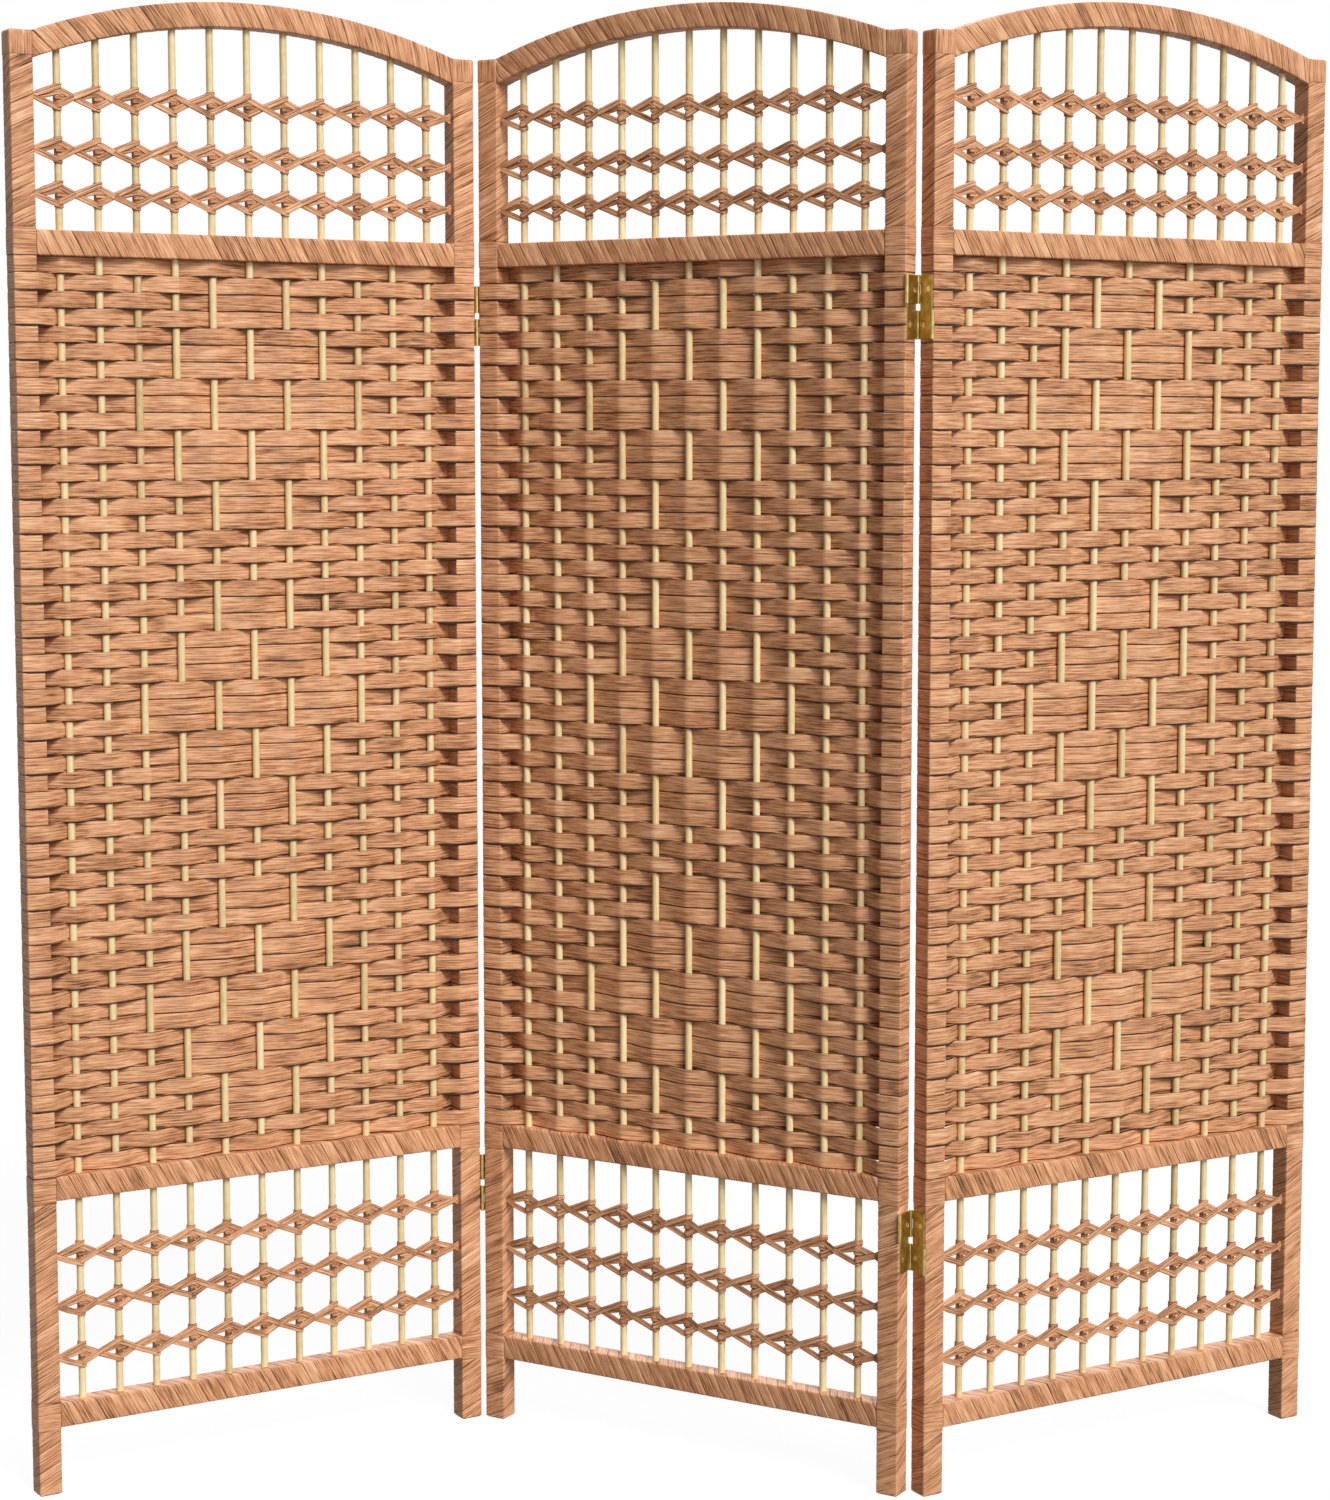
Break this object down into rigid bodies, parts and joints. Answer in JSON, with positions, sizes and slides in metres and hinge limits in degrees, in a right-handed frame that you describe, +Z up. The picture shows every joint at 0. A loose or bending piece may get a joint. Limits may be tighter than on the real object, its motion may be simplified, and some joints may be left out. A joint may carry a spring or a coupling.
{
  "type": "folding screen",
  "caption": "Three-panel folding screen with arched tops, woven fibre strips over rods, knotted open lattices and two-way hinges.",
  "frame": {"origin": "on the floor under the centre of the middle panel, which is the centre of the whole screen's footprint as it stands", "axes": "+Z up, +Y away from the viewer of the picture (the depth of the zigzag), +X along the opened screen to the right"},
  "size_m": [1.0856, 0.2282, 1.2189],
  "materials": {
    "core_wood": "bare softwood",
    "wrap_fibre": "split fibre, wound and lacquered",
    "weave_fibre": "flat fibre strip, lacquered",
    "knot_fibre": "flat fibre strand, lacquered",
    "rod_wood": "pale, lightly sealed",
    "brass": "dull, slightly tarnished"
  },
  "bodies": {
    "middle_panel": {"middle_left_post": "core_wood", "middle_right_post": "core_wood", "middle_arch_rail": "core_wood", "middle_upper_rail": "core_wood", "middle_lower_rail": "core_wood", "middle_bottom_rail": "core_wood", "middle_rail_dowels": "core_wood", "middle_post_wraps": "wrap_fibre", "middle_rail_wraps": "wrap_fibre", "middle_rods": "rod_wood", "middle_weave": "weave_fibre", "middle_upper_lattice": "knot_fibre", "middle_lower_lattice": "knot_fibre", "left_hinge_inner_leaves": "brass", "left_hinge_inner_pins": "brass", "left_hinge_inner_screws": "brass", "right_hinge_inner_leaves": "brass", "right_hinge_inner_pins": "brass", "right_hinge_inner_screws": "brass"},
    "left_top_links": {"left_hinge_top_links": "brass"},
    "left_panel": {"left_left_post": "core_wood", "left_right_post": "core_wood", "left_arch_rail": "core_wood", "left_upper_rail": "core_wood", "left_lower_rail": "core_wood", "left_bottom_rail": "core_wood", "left_rail_dowels": "core_wood", "left_post_wraps": "wrap_fibre", "left_rail_wraps": "wrap_fibre", "left_rods": "rod_wood", "left_weave": "weave_fibre", "left_upper_lattice": "knot_fibre", "left_lower_lattice": "knot_fibre", "left_hinge_outer_leaves": "brass", "left_hinge_outer_pins": "brass", "left_hinge_outer_screws": "brass"},
    "left_bottom_links": {"left_hinge_bottom_links": "brass"},
    "right_top_links": {"right_hinge_top_links": "brass"},
    "right_panel": {"right_left_post": "core_wood", "right_right_post": "core_wood", "right_arch_rail": "core_wood", "right_upper_rail": "core_wood", "right_lower_rail": "core_wood", "right_bottom_rail": "core_wood", "right_rail_dowels": "core_wood", "right_post_wraps": "wrap_fibre", "right_rail_wraps": "wrap_fibre", "right_rods": "rod_wood", "right_weave": "weave_fibre", "right_upper_lattice": "knot_fibre", "right_lower_lattice": "knot_fibre", "right_hinge_outer_leaves": "brass", "right_hinge_outer_pins": "brass", "right_hinge_outer_screws": "brass"},
    "right_bottom_links": {"right_hinge_bottom_links": "brass"}
  },
  "joints": [
    {"name": "left_reverse_fold", "type": "hinge", "parent": "middle_panel", "child": "left_top_links", "pos_m": [-0.17121, 0.11246, 0], "axis": [0, 0, 1], "range_deg": [-90, 0]},
    {"name": "left_fold", "type": "hinge", "parent": "left_top_links", "child": "left_panel", "pos_m": [-0.18136, 0.09523, 0], "axis": [0, 0, 1], "range_deg": [-61, 119]},
    {"name": "left_lower_link_turn", "type": "hinge", "parent": "left_panel", "child": "left_bottom_links", "pos_m": [-0.19152, 0.11246, 0], "axis": [0, 0, 1], "range_deg": [0, 90]},
    {"name": "right_reverse_fold", "type": "hinge", "parent": "middle_panel", "child": "right_top_links", "pos_m": [0.17121, -0.11246, 0], "axis": [0, 0, 1], "range_deg": [-90, 0]},
    {"name": "right_fold", "type": "hinge", "parent": "right_top_links", "child": "right_panel", "pos_m": [0.18136, -0.09523, 0], "axis": [0, 0, 1], "range_deg": [-61, 119]},
    {"name": "right_lower_link_turn", "type": "hinge", "parent": "right_panel", "child": "right_bottom_links", "pos_m": [0.19152, -0.11246, 0], "axis": [0, 0, 1], "range_deg": [0, 90]}
  ],
  "couplings": [
    {"joint": "left_lower_link_turn", "follows": "left_reverse_fold", "ratio": -1},
    {"joint": "right_lower_link_turn", "follows": "right_reverse_fold", "ratio": -1}
  ]
}
